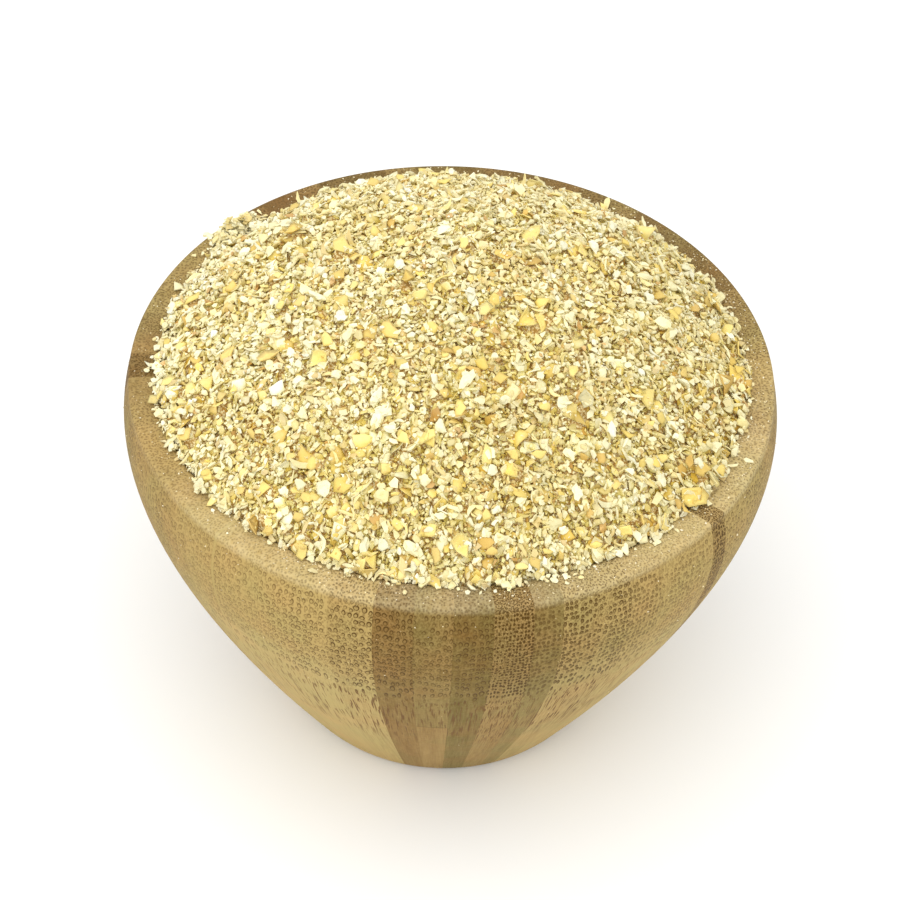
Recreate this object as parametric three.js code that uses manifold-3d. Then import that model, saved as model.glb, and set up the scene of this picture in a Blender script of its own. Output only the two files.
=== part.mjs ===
// A small round bamboo bowl, turned from a ring of upright staves, heaped with oat bran.
// Millimetres, +Z up. The origin is the middle of the flat base, and -Y is the side seen from the front.
// Two solids: the bowl, and the bran, which fills it and rises over its rim as a loose, uneven heap.
import * as THREE from "three";
import { mergeVertices } from "three/addons/utils/BufferGeometryUtils.js";
import Module from "manifold-3d";

// The bowl. Its wall swells a little under the rim and then runs in to a small base.
const bowlHeight = 67;
const rimRadius = 50; // outer edge of the rim's flat top
const rimWidth = 4.7;
const edgeBevel = 0.6; // softened edges of the rim
const baseRadius = 26.3; // where the wall's line meets the base plane
const footBevel = 2;
const wallSwell = new THREE.Vector2(0.9, -5.8); // upper control point of the wall, from the rim's edge
const wallFlare = new THREE.Vector2(30.1, 53.6); // lower control point of the wall, from the base's edge
const floorThickness = 8;
const floorRadius = 14; // flat part of the cavity's floor
const cavityBelly = new THREE.Vector2(4.1, -17); // upper control point of the cavity's wall, from its mouth
const cavityTurn = 31; // radius of its lower control point, level with the floor
const bowlSides = 72;
const outsideSteps = 7; // straight steps in the wall's curve outside
const insideSteps = 5; // and inside, where the bran keeps the same steps

// The bran
const clearance = 0.35; // gap between the bran and the wood
const heapRise = 20.5; // height of the heap's top over the rim
const heapRadius = 45.5; // the heap's foot lies just over the rim's inner edge
const heapLean = new THREE.Vector2(0.03, 0.02); // the heap's top stands a little right of the middle and back
const swellHeight = 0.45; // broad swells of the heap's surface
const wideSwell = new THREE.Vector2(8, 9); // their lengths across and along, over two pi
const narrowSwell = new THREE.Vector2(4.1, 5.3);
const edgeScatter = 0.45; // unevenness of the heap's foot, in and out
const edgeHeight = [0.35, 1.1]; // thickness of the bran where it ends on the wood
const spillAngle = 4.03; // direction of the small spill over the rim at the back left, from the front
const spillReach = 3;
const spillWidth = 0.08;
const surfaceRings = 31; // rings of the bran's top, each with six points more than the last
const sidePoints = 60; // points in each ring of the bran's hidden side, under the rim

// Relief of the bran's top: crumbs stand as low bumps, and the largest flakes are plates fused on
const crumbSpacing = 2.3;
const crumbRadius = [1.0, 1.8];
const crumbHeight = [0.4, 1.2];
const crumbLean = 0.35; // steepest lean of a crumb's top, as rise over run
const pointScatter = 0.3; // sideways scatter of the surface points
const flakeCount = 90;
const flakeRadius = [1.25, 2.2]; // half of a flake's length
const flakeShape = [0.55, 0.9]; // a flake's width over its length
const flakeTear = [0.8, 1.1]; // unevenness of a flake's outline, outwards
const cornerScatter = 0.6; // and round it, as a share of the angle between corners
const flakeThickness = 0.55;
const flakeTilt = 0.6; // steepest lean of a flake against the heap, in radians
const flakeSink = 0.2; // depth of a flake's middle under the top of the crumb below it
const flakeScatter = 5; // sideways scatter of the flakes' places

const goldenAngle = Math.PI * (3 - Math.sqrt(5));
const up = new THREE.Vector3(0, 0, 1);
const mouthRadius = rimRadius - rimWidth;
const branRadius = mouthRadius - clearance;
const branFoot = bowlHeight + clearance;

// Repeatable random numbers from 0 to 1 (the mulberry32 rule).
function randomFrom(seed) {
  return () => {
    seed = (seed + 0x6d2b79f5) | 0;
    let t = Math.imul(seed ^ (seed >>> 15), 1 | seed);
    t = (t + Math.imul(t ^ (t >>> 7), 61 | t)) ^ t;
    return ((t ^ (t >>> 14)) >>> 0) / 4294967296;
  };
}

const between = ([low, high], share) => low + (high - low) * share;
const eitherWay = (random, size) => (random() * 2 - 1) * size;

// Point at a distance from the axis and a direction counted from the front towards the right.
const polar = (radius, angle) => new THREE.Vector2(radius * Math.sin(angle), -radius * Math.cos(angle));

// The cavity's wall from its mouth down to the floor's edge, as a curve of radius against height.
// With a gap it is the line that the bran keeps to.
function cavityWall(gap) {
  const floor = floorThickness + gap;
  return new THREE.CubicBezierCurve(
    new THREE.Vector2(mouthRadius - gap, bowlHeight - edgeBevel),
    new THREE.Vector2(mouthRadius - gap, bowlHeight).add(cavityBelly),
    new THREE.Vector2(cavityTurn - gap, floor),
    new THREE.Vector2(floorRadius, floor),
  );
}

// The outer wall from the foot up to the rim's outer edge.
function outerWall() {
  const foot = new THREE.Vector2(baseRadius + footBevel * 0.5, footBevel);
  const top = new THREE.Vector2(rimRadius, bowlHeight - edgeBevel);
  return new THREE.CubicBezierCurve(
    foot,
    new THREE.Vector2(baseRadius, 0).add(wallFlare),
    new THREE.Vector2(rimRadius, bowlHeight).add(wallSwell),
    top,
  );
}

// The bowl: half of its section, turned round the axis.
function makeBowl() {
  const outline = [
    new THREE.Vector2(0, 0),
    new THREE.Vector2(baseRadius - footBevel, 0),
    ...outerWall().getPoints(outsideSteps),
    new THREE.Vector2(rimRadius - edgeBevel, bowlHeight),
    new THREE.Vector2(mouthRadius + edgeBevel, bowlHeight),
    ...cavityWall(0).getPoints(insideSteps),
    new THREE.Vector2(0, floorThickness),
  ];
  return new THREE.LatheGeometry(outline, bowlSides).rotateX(Math.PI / 2);
}

// Closed surface through rings of points, each ring running once round the axis, from the top's middle
// to the bottom's. Neighbouring rings may differ in their number of points, and a ring may be one point.
function skinOfRings(rings) {
  const starts = [];
  let total = 0;
  for (const ring of rings) {
    starts.push(total);
    total += ring.length;
  }
  const faces = [];
  for (let r = 0; r + 1 < rings.length; r++) {
    const inner = rings[r].length;
    const outer = rings[r + 1].length;
    const innerPoint = (i) => starts[r] + (i % inner);
    const outerPoint = (i) => starts[r + 1] + (i % outer);
    let i = 0;
    let j = 0;
    while ((inner > 1 && i < inner) || (outer > 1 && j < outer)) {
      const innerNext = inner > 1 ? (i + 1) / inner : Infinity;
      const outerNext = outer > 1 ? (j + 1) / outer : Infinity;
      if (outerNext <= innerNext) {
        faces.push(innerPoint(i), outerPoint(j), outerPoint(j + 1));
        j++;
      } else {
        faces.push(innerPoint(i), outerPoint(j), innerPoint(i + 1));
        i++;
      }
    }
  }
  const positions = rings.flat().flatMap((p) => p.toArray());
  return new THREE.BufferGeometry()
    .setAttribute("position", new THREE.Float32BufferAttribute(positions, 3))
    .setIndex(faces);
}

// Places spread evenly over a disc, by turning each a golden angle on from the last.
function sunflower(count, radius, random, scatter) {
  return Array.from({ length: count }, (_, k) => {
    const place = polar(radius * Math.sqrt((k + 0.5) / count), k * goldenAngle);
    return place.add(new THREE.Vector2(eitherWay(random, scatter / 2), eitherWay(random, scatter / 2)));
  });
}

// Height of the smooth heap: a cap of a sphere standing on the rim, pushed a little off the middle,
// with broad swells that fade out at its foot.
function heapHeight(x, y) {
  const sphere = (heapRadius ** 2 + heapRise ** 2) / (2 * heapRise);
  const inside = Math.max(0, heapRadius ** 2 - x * x - y * y);
  const cap = Math.sqrt((sphere - heapRise) ** 2 + inside) - (sphere - heapRise);
  const lean = 1 + (x * heapLean.x + y * heapLean.y) / heapRadius;
  const wide = Math.sin(x / wideSwell.x + 1) * Math.cos(y / wideSwell.y);
  const narrow = Math.sin(x / narrowSwell.x + y / narrowSwell.y);
  const swell = swellHeight * (wide + narrow / 2);
  return branFoot + cap * lean + (swell * inside) / heapRadius ** 2;
}

// Outward direction of the smooth heap, by differences of its height.
function heapNormal(x, y) {
  const step = 0.5;
  const slopeX = (heapHeight(x + step, y) - heapHeight(x - step, y)) / (2 * step);
  const slopeY = (heapHeight(x, y + step) - heapHeight(x, y - step)) / (2 * step);
  return new THREE.Vector3(-slopeX, -slopeY, 1).normalize();
}

// Crumbs that roughen the heap. Each is a low cap, leaning its own way.
function makeCrumbs() {
  const random = randomFrom(11);
  const count = Math.round((Math.PI * heapRadius ** 2) / crumbSpacing ** 2);
  return sunflower(count, heapRadius, random, crumbSpacing).map((place) => ({
    place,
    radius: between(crumbRadius, random()),
    height: between(crumbHeight, random()),
    lean: new THREE.Vector2(eitherWay(random, crumbLean), eitherWay(random, crumbLean)),
  }));
}

// Height that the highest crumb at a place adds to the smooth heap.
function crumbRelief(crumbs, x, y) {
  let highest = 0;
  for (const crumb of crumbs) {
    const away = new THREE.Vector2(x, y).sub(crumb.place);
    const inside = 1 - away.lengthSq() / crumb.radius ** 2;
    if (inside > 0) highest = Math.max(highest, crumb.height * Math.sqrt(inside) + away.dot(crumb.lean));
  }
  return highest;
}

// Distance of the heap's foot from the axis: uneven all round, with one small spill over the rim.
function footRadius(angle, random) {
  const fromSpill = (angle - spillAngle) / spillWidth;
  return heapRadius + eitherWay(random, edgeScatter) + spillReach * Math.exp(-fromSpill * fromSpill);
}

// Rings over the heap from its middle to its foot on the rim. Ring k has 6k points, so they lie evenly.
function topOfHeap(crumbs) {
  const random = randomFrom(23);
  const rings = [[new THREE.Vector3(0, 0, heapHeight(0, 0) + crumbRelief(crumbs, 0, 0))]];
  for (let k = 1; k < surfaceRings; k++) {
    rings.push(Array.from({ length: 6 * k }, (_, i) => {
      const place = polar((branRadius * k) / (surfaceRings - 1), (i / (6 * k)) * 2 * Math.PI);
      const x = place.x + eitherWay(random, pointScatter);
      const y = place.y + eitherWay(random, pointScatter);
      return new THREE.Vector3(x, y, heapHeight(x, y) + crumbRelief(crumbs, x, y));
    }));
  }
  const footPoints = 6 * surfaceRings;
  rings.push(Array.from({ length: footPoints }, (_, i) => {
    const angle = (i / footPoints) * 2 * Math.PI;
    const { x, y } = polar(footRadius(angle, random), angle);
    return new THREE.Vector3(x, y, branFoot + between(edgeHeight, random()));
  }));
  return rings;
}

// Rings from the foot's underside back to the mouth, down along the cavity's wall, and to the floor.
function underHeap() {
  const line = [new THREE.Vector2(branRadius, branFoot), ...cavityWall(clearance).getPoints(insideSteps)];
  const rings = line.map(({ x: r, y: z }) =>
    Array.from({ length: sidePoints }, (_, i) => {
      const { x, y } = polar(r, (i / sidePoints) * 2 * Math.PI);
      return new THREE.Vector3(x, y, z);
    }),
  );
  return [...rings, [new THREE.Vector3(0, 0, floorThickness + clearance)]];
}

// Outline of a flake, longer than wide, with five to seven uneven sides.
function flakeOutline(random) {
  const sides = 5 + Math.floor(random() * 3);
  const length = between(flakeRadius, random());
  const width = length * between(flakeShape, random());
  return Array.from({ length: sides }, (_, i) => {
    const angle = ((i + random() * cornerScatter) / sides) * 2 * Math.PI;
    const reach = between(flakeTear, random());
    return new THREE.Vector2(Math.cos(angle) * length * reach, Math.sin(angle) * width * reach);
  });
}

// A flake: a thin, torn plate lying on the heap at its own lean. One at the rim is lifted clear of the wood.
function makeFlake(place, random, crumbs) {
  const plate = new THREE.ExtrudeGeometry(new THREE.Shape(flakeOutline(random)), {
    depth: flakeThickness,
    bevelEnabled: false,
  });
  const spin = new THREE.Quaternion().setFromAxisAngle(up, random() * 2 * Math.PI);
  const leanAxis = new THREE.Vector3(1, 0, 0).applyAxisAngle(up, random() * 2 * Math.PI);
  const lean = new THREE.Quaternion().setFromAxisAngle(leanAxis, eitherWay(random, flakeTilt));
  const lie = new THREE.Quaternion().setFromUnitVectors(up, heapNormal(place.x, place.y));
  plate.applyQuaternion(lie.multiply(lean).multiply(spin));
  const height = heapHeight(place.x, place.y) + crumbRelief(crumbs, place.x, place.y);
  plate.translate(place.x, place.y, height - flakeSink);
  const corners = plate.getAttribute("position");
  let lift = 0;
  for (let i = 0; i < corners.count; i++) {
    const overWood = Math.hypot(corners.getX(i), corners.getY(i)) > branRadius;
    if (overWood) lift = Math.max(lift, branFoot - corners.getZ(i));
  }
  return plate.translate(0, 0, lift);
}

// A three.js geometry as a solid that can be joined and cut.
function toSolid(wasm, geometry) {
  const bare = new THREE.BufferGeometry()
    .setAttribute("position", geometry.getAttribute("position"))
    .setIndex(geometry.index);
  const merged = mergeVertices(bare, 1e-4);
  return new wasm.Manifold(
    new wasm.Mesh({
      numProp: 3,
      vertProperties: merged.getAttribute("position").array,
      triVerts: new Uint32Array(merged.index.array),
    }),
  );
}

// A solid as a three.js geometry.
function toGeometry(solid) {
  const mesh = solid.getMesh();
  const geometry = new THREE.BufferGeometry()
    .setAttribute("position", new THREE.BufferAttribute(Float32Array.from(mesh.vertProperties), 3))
    .setIndex(new THREE.BufferAttribute(Uint32Array.from(mesh.triVerts), 1));
  geometry.computeVertexNormals();
  return geometry;
}

// The bran: the bumpy heap that fills the bowl, with the largest flakes fused to its top.
// A flake that would lie loose is dropped, as is any hollow that the joining seals.
function makeBran(wasm) {
  const crumbs = makeCrumbs();
  const heap = toSolid(wasm, skinOfRings([...topOfHeap(crumbs), ...underHeap()]));
  const random = randomFrom(5);
  const places = sunflower(flakeCount, heapRadius - 0.6, random, flakeScatter);
  const flakes = places.map((place) => toSolid(wasm, makeFlake(place, random, crumbs)));
  const pieces = wasm.Manifold.union([heap, ...flakes]).decompose();
  const [largest] = pieces.sort((a, b) => b.volume() - a.volume());
  return toGeometry(largest.simplify(0.01));
}

function namedMesh(name, geometry, material) {
  const mesh = new THREE.Mesh(geometry, material);
  mesh.name = name;
  return mesh;
}

const wasm = await Module();
wasm.setup();

const bamboo = new THREE.MeshStandardMaterial({ color: 0xb5985f, roughness: 0.62, metalness: 0 });
const oatBran = new THREE.MeshStandardMaterial({
  color: 0xe6d39a,
  roughness: 0.9,
  metalness: 0,
  flatShading: true,
});

const bowlOfBran = new THREE.Group();
bowlOfBran.name = "bowl_of_oat_bran";
bowlOfBran.add(namedMesh("bowl", makeBowl(), bamboo));
bowlOfBran.add(namedMesh("oat_bran", makeBran(wasm), oatBran));

export default bowlOfBran;
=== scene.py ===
from itertools import combinations
import bpy
import numpy as np
from mathutils import Matrix, Vector


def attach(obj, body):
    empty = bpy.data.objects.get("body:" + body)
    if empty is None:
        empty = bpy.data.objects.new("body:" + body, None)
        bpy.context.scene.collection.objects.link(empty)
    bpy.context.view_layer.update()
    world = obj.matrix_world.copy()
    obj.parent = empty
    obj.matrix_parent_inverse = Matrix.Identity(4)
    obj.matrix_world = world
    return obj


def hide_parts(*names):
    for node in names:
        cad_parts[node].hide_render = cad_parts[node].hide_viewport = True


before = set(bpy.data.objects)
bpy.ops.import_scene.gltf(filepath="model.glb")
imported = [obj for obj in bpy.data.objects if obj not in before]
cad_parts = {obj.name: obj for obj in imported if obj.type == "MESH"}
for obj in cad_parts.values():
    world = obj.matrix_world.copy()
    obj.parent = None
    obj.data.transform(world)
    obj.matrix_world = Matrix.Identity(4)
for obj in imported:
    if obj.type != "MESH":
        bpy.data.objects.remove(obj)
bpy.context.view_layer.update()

mm = 0.001  # shapes are worked out in millimetres and written in metres
fullTurn = 2 * np.pi
scene = bpy.context.scene


def linear(colour):
    # screen colour "#rrggbb" to light: ((c + 0.055) / 1.055) to the power 2.4
    screen = np.array([int(colour[i:i + 2], 16) for i in (1, 3, 5)]) / 255
    return np.where(screen <= 0.04045, screen / 12.92, ((screen + 0.055) / 1.055) ** 2.4)


def smooth(low, high, value):
    # 3t^2 - 2t^3 of the share t of the way from low to high
    t = np.clip((value - low) / (high - low), 0, 1)
    return t * t * (3 - 2 * t)


def blurred(heights, reach):
    # mean over a square of side 2 reach + 1, twice, by running sums along each axis in turn
    span = 2 * reach + 1
    for _ in range(4):
        total = np.cumsum(np.pad(heights, ((reach + 1, reach), (0, 0)), "edge"), 0)
        heights = ((total[span:] - total[:-span]) / span).T
    return heights


def polar(turn, distance=1.0):
    # (distance sin turn, -distance cos turn): turns run from the front towards the right
    return np.stack([distance * np.sin(turn), -distance * np.cos(turn)], -1)


def bands(number):
    # quads between each row of a grid of point numbers and the next, closed all round
    after = np.roll(number, -1, 1)
    return np.stack([number[:-1], after[:-1], after[1:], number[1:]], -1).reshape(-1, 4)


def closedRings(rows, columns, fromTop=True):
    # faces of a closed form of rings, with a point before the first and one after the last: the bands between
    # the rings and a fan at each end
    number = np.arange(rows * columns).reshape(rows, columns) + 1
    after = np.roll(number, -1, 1)
    first, last = np.zeros(columns, int), np.full(columns, rows * columns + 1)
    quads = bands(number)
    fans = np.hstack([[first, after[0], number[0]], [last, number[-1], after[-1]]]).T
    if fromTop:
        quads, fans = quads[:, [0, 3, 2, 1]], fans[:, [0, 2, 1]]
    return np.append(quads, fans), np.repeat([4, 3], [len(quads), len(fans)])


def newObject(name, data):
    made = bpy.data.objects.new(name, data)
    scene.collection.objects.link(made)
    return made


# an attribute has three numbers at each corner of each face, or four at each point
attributeKinds = {3: ("FLOAT_VECTOR", "CORNER", "vector"), 4: ("FLOAT_COLOR", "POINT", "color")}


def newPiece(name, points, corners, sizes, material, slot, attributes=None, flat=None):
    # a mesh from arrays: points in mm, the faces' corners in one row, and each face's number of corners
    mesh = bpy.data.meshes.new(name)
    mesh.vertices.add(len(points))
    mesh.vertices.foreach_set("co", (points * mm).astype(np.float32).ravel())
    mesh.loops.add(len(corners))
    mesh.loops.foreach_set("vertex_index", corners.astype(np.int32))
    mesh.polygons.add(len(sizes))
    mesh.polygons.foreach_set("loop_start", (np.cumsum(sizes) - sizes).astype(np.int32))
    mesh.polygons.foreach_set("use_smooth", np.ones(len(sizes), bool) if flat is None else ~flat)
    for attribute, values in (attributes or {}).items():
        kind, domain, field = attributeKinds[values.shape[1]]
        layer = mesh.attributes.new(attribute, kind, domain)
        layer.data.foreach_set(field, values.astype(np.float32).ravel())
    mesh.update(calc_edges=True)
    mesh.validate()
    mesh.materials.append(material)
    piece = newObject(name, mesh)
    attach(piece, "root")
    print(name, "has", len(points), "points and", int((sizes - 2).sum()), "triangles")
    return piece


class Wire:
    # a socket of a material; + - * between wires and numbers add the Math nodes that work them out
    def __init__(self, tree, socket=None):
        self.tree, self.socket = tree, socket

    def node(self, kind, settings=None, inputs=None, output=0):
        # an input is a wire, a number, a vector or a colour "#rrggbb"
        made = self.tree.nodes.new(kind)
        for key, value in (settings or {}).items():
            setattr(made, key, value)
        for key, value in (inputs or {}).items():
            if isinstance(value, Wire):
                self.tree.links.new(value.socket, made.inputs[key])
            else:
                made.inputs[key].default_value = (*linear(value), 1.0) if isinstance(value, str) else value
        return Wire(self.tree, made.outputs[output] if made.outputs else None)

    def math(self, operation, *values):
        return self.node("ShaderNodeMath", {"operation": operation}, dict(enumerate(values)))

    def __add__(self, other): return self.math("ADD", self, other)
    def __radd__(self, other): return self.math("ADD", other, self)
    def __sub__(self, other): return self.math("SUBTRACT", self, other)
    def __rsub__(self, other): return self.math("SUBTRACT", other, self)
    def __mul__(self, other): return self.math("MULTIPLY", self, other)
    def __rmul__(self, other): return self.math("MULTIPLY", other, self)
    def vector(self, operation, *values, output="Vector"):
        return self.node("ShaderNodeVectorMath", {"operation": operation}, dict(enumerate(values)), output)
    def ramp(self, low, high, start=0.0, end=1.0):
        # smooth step of this wire from start at low to end at high
        return self.node("ShaderNodeMapRange", {"interpolation_type": "SMOOTHSTEP"},
                         {"Value": self, "From Min": low, "From Max": high, "To Min": start, "To Max": end})

    def mix(self, factor, first, second, mode="MIX"):
        # colours: the factor's share of the second over the first
        return self.node("ShaderNodeMix", {"data_type": "RGBA", "blend_type": mode},
                         {0: factor, 6: first, 7: second}, output=2)

    def read(self, attribute, output="Vector"):
        return self.node("ShaderNodeAttribute", {"attribute_name": attribute}, output=output)

    def noise(self, vector, scale, detail=2.0, roughness=0.5, output="Fac"):
        return self.node("ShaderNodeTexNoise", {}, {"Vector": vector, "Scale": scale, "Detail": detail,
                                                    "Roughness": roughness}, output)
    def cells(self, vector, size, output, randomness=1.0, dimensions="2D"):
        return self.node("ShaderNodeTexVoronoi", {"voronoi_dimensions": dimensions},
                         {"Vector": vector, "Scale": 1 / size, "Randomness": randomness}, output)
    def split(self):
        return [self.node("ShaderNodeSeparateXYZ", {}, {0: self}, output=i) for i in range(3)]

    def join(self, x, y, z):
        return self.node("ShaderNodeCombineXYZ", {}, {0: x, 1: y, 2: z})


def newMaterial(name):
    material = bpy.data.materials.new(name)
    material.use_nodes = True
    material.node_tree.nodes.clear()
    return material, Wire(material.node_tree)


def finishSurface(start, look, colour, roughness, height):
    # an opaque surface with a bump; relief is the bump's strength and its depth in mm
    strength, depth = look["relief"]
    bump = start.node("ShaderNodeBump", {}, {"Strength": strength, "Distance": depth * mm, "Height": height})
    start.node("ShaderNodeOutputMaterial", {}, {"Surface": start.node("ShaderNodeBsdfPrincipled", {}, {
        "Base Color": colour, "Roughness": roughness, "Specular IOR Level": look["gloss"], "Normal": bump})})


camera = {
    "elevation": 43.1,  # degrees above the rim's middle
    "distance": 400.0,  # mm from the rim's middle
    "downTilt": 44.93,  # of the line of sight, degrees
    "pan": 0.03,
    "roll": 2.16,
    "lens": 103.2,  # mm
    "sensor": 36.0,
}


def makeCamera():
    # stands above the bowl's front, rolled, raised from looking straight down to its tilt, and panned right
    elevation, tilt, pan, roll = np.radians([camera[k] for k in ("elevation", "downTilt", "pan", "roll")])
    place = Vector((0, -np.cos(elevation), np.sin(elevation))) * camera["distance"]
    place.z += bowl["height"]
    data = bpy.data.cameras.new("camera")
    data.sensor_fit, data.sensor_width, data.lens = "HORIZONTAL", camera["sensor"], camera["lens"]
    data.clip_start, data.clip_end = 0.01, 10
    eye = newObject("camera", data)
    eye.matrix_world = (Matrix.Translation(place * mm) @ Matrix.Rotation(-pan, 4, "Z")
                        @ Matrix.Rotation(np.pi / 2 - tilt, 4, "X") @ Matrix.Rotation(roll, 4, "Z"))
    scene.camera = eye


bowl = {
    "height": 67.0,  # all sizes in mm, as in the part's source
    "rimRadius": 50.0,
    "rimWidth": 4.7,
    "edgeRound": 0.6,
    "baseRadius": 26.3,
    "footRound": 2.0,
    "wallSwell": (0.9, -5.8),
    "wallFlare": (30.1, 53.6),
    "cavityBelly": (4.1, -17.0),
    "cavityTurn": 31.0,
    "floorThickness": 8.0,
    "floorRadius": 14.0,
    "columnsPerStave": 6,
    "staveTurn": 6.5,  # usual width of a stave, degrees
    "staveUneven": 0.7,
    "fibreSlope": 63.0,  # the fibres rise outwards at this angle, degrees
    "slopeUneven": 1.2,
    "cutAcross": (37.0, 56.0),  # between these heights the wall turns from along the fibres to across them,
    "cutShares": (0.04, 0.75),  # by these shares of a full cut
    "seed": 4,
}
bowl["mouthRadius"] = bowl["rimRadius"] - bowl["rimWidth"]

# Staves seen from the front: where each begins, in degrees from the front towards the right, its tone from
# dark to light, its hue from reddish to olive, how strong its pores are, on which side they crowd, how fine
# they are, and the height in mm where a node crosses it, or 0.
# The tones of the staves at either side, about 50 to 80 degrees from the front, are partly their own and
# partly painted light and shade, set to how brightly the sides of the wall are lit.
seenStaves = [
    (-127, 0.62, 0.5, 0.9, 1, 1.1, 0), (-120.6, 0.68, 0.5, 0.8, 1, 1, 0),
    (-114.2, 0.64, 0.5, 0.9, -1, 1.1, 0), (-108, 0.66, 0.45, 0.9, 1, 1, 0),
    (-101.9, 0.4, 0.45, 1, 1, 1.2, 0), (-96.4, 0.42, 0.4, 0.7, -1, 1, 0),
    (-90.7, 0.12, 0.3, 1.3, 1, 1.2, 0), (-84.4, 0.52, 0.5, 0.6, -1, 1, 0),
    (-78.1, 0.68, 0.6, 0.8, 1, 1.1, 0), (-71.6, 0.78, 0.45, 0.7, -1, 1, 0), (-61.7, 0.8, 0.5, 0.7, 1, 1, 0),
    (-55.4, 0.84, 0.5, 0.6, -1, 1, 0), (-48.9, 0.98, 0.4, 0.6, 1, 1.1, 0), (-42.1, 1.35, 0.8, 0.1, 1, 1, 0),
    (-41.5, 1.16, 0.5, 0.6, -1, 1, 0), (-32, 1.14, 0.4, 0.7, 1, 1, 0), (-25.5, 1.06, 0.5, 0.8, -1, 1, 0),
    (-19, 0.87, 0.45, 1, 1, 1, 0), (-11.4, 0.26, 0.15, 1.1, 1, 1, 0), (-4.7, 0.36, 0.5, 0.9, 1, 1, 31),
    (1.8, 0.2, 0.85, 1, 1, 1, 0), (8.4, 0.46, 0.35, 1.5, 1, 1.75, 0), (15, 0.36, 0.9, 0.8, -1, 1.3, 0),
    (20, 0.76, 0.5, 1.1, -1, 1.25, 0), (26, 0.84, 0.5, 1.1, 1, 1.2, 0), (32.3, 0.9, 0.45, 0.8, -1, 1.25, 0),
    (38.5, 1.02, 0.5, 0.75, 1, 1.2, 0), (45.3, 1.06, 0.45, 0.7, -1, 1.2, 0),
    (51, 0.6, 0.35, 1.5, 1, 1.6, 0), (54.7, 1, 0.5, 0.8, -1, 1.1, 0), (62, 1.05, 0.6, 0.9, 1, 1.1, 0),
    (69, 0.95, 0.5, 0.8, -1, 1.1, 0), (75.6, 0.75, 0.5, 0.9, 1, 1.1, 0), (82, 0.8, 0.5, 0.9, -1, 1, 0),
    (88.6, 0.95, 0.5, 0.8, 1, 1.1, 0), (95.2, 0.75, 0.45, 1, -1, 1, 0), (101.8, 0.55, 0.4, 1, 1, 1.1, 0),
    (108.5, 0.4, 0.35, 1, 1, 1, 0),
]


def bezier(points, steps):
    # (1-t)^3 A + 3(1-t)^2 t B + 3(1-t) t^2 C + t^3 D, or (1-t)^2 A + 2(1-t) t B + t^2 C
    t = np.linspace(0, 1, steps + 1)[:, None]
    corners = np.array(points, float)
    while len(corners) > 1:
        corners = [a * (1 - t) + b * t for a, b in zip(corners[:-1], corners[1:])]
    return corners[0]


def bowlOutline():
    # radius against height, from the base's middle round the wall and the rim to the middle of the cavity's
    # floor: each stretch is a Bezier curve from the end of the one before
    top, rim, rounding, mouth = bowl["height"], bowl["rimRadius"], bowl["edgeRound"], bowl["mouthRadius"]
    base, foot, floor = bowl["baseRadius"], bowl["footRound"], bowl["floorThickness"]
    flare, swell, belly = bowl["wallFlare"], bowl["wallSwell"], bowl["cavityBelly"]
    outline = [np.zeros(2)]
    for corners, steps in [
            ([(base - foot, 0)], 6),
            ([(base - 0.1, 0), (base + foot / 2, foot)], 6),
            ([(base + flare[0], flare[1]), (rim + swell[0], top + swell[1]), (rim, top - rounding)], 46),
            ([(rim, top), (rim - rounding, top)], 4),
            ([(mouth + rounding, top)], 4),
            ([(mouth, top), (mouth, top - rounding)], 4),
            ([(mouth + belly[0], top + belly[1]), (bowl["cavityTurn"], floor),
              (bowl["floorRadius"], floor)], 12),
            ([(0, floor)], 2)]:
        outline.extend(bezier([outline[-1], *corners], steps)[1:])
    return np.array(outline)


def drawStaves(random):
    # the rows seen in front, then drawn ones of the same kind round the back
    rows, start = list(seenStaves), seenStaves[-1][0] + bowl["staveTurn"]
    while start < seenStaves[0][0] + 360 - bowl["staveTurn"] * 0.6:
        tone = random.choice([0.0, 0.1, 0.2, 0.4]) + random.normal(0, 0.04)
        fineness = random.choice([1, 1.2, 1.5], p=[0.5, 0.4, 0.1])
        node = random.choice([0, 1], p=[0.85, 0.15]) * random.uniform(12, 50)
        rows.append((start, tone, random.uniform(0.25, 0.8), random.uniform(0.7, 1.2), random.choice([-1, 1]),
                     fineness, node))
        start += bowl["staveTurn"] + random.normal(0, bowl["staveUneven"])
    return np.array(rows)


def swept(outline, turns):
    # points (r sin turn, -r cos turn, z) for each (r, z) of the outline, along each turn
    return np.dstack([polar(turns, outline[:, :1]), np.repeat(outline[:, 1:], len(turns), 1)])


def throughFibres(outline):
    # how far the outline cuts across the fibres, the sine of the angle between them, but from a low to a high
    # share up the outer wall; and how deep in the fibres each point is, the running sum of share times length
    course = np.gradient(outline, axis=0)
    course /= np.linalg.norm(course, axis=1, keepdims=True)
    slope = np.radians(bowl["fibreSlope"])
    cut = np.abs(course @ [-np.sin(slope), np.cos(slope)])
    least, most = bowl["baseRadius"], bowl["rimRadius"] - 1
    wall = outline[:, 0] > np.interp(outline[:, 1], [0, bowl["height"]], [least, most])
    low, high = bowl["cutShares"]
    cut = np.where(wall, low + (high - low) * smooth(*bowl["cutAcross"], outline[:, 1]), cut)
    step = np.linalg.norm(np.diff(outline, axis=0), axis=1)
    return cut, np.append(0, np.cumsum((cut[1:] + cut[:-1]) / 2 * step))


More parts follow.
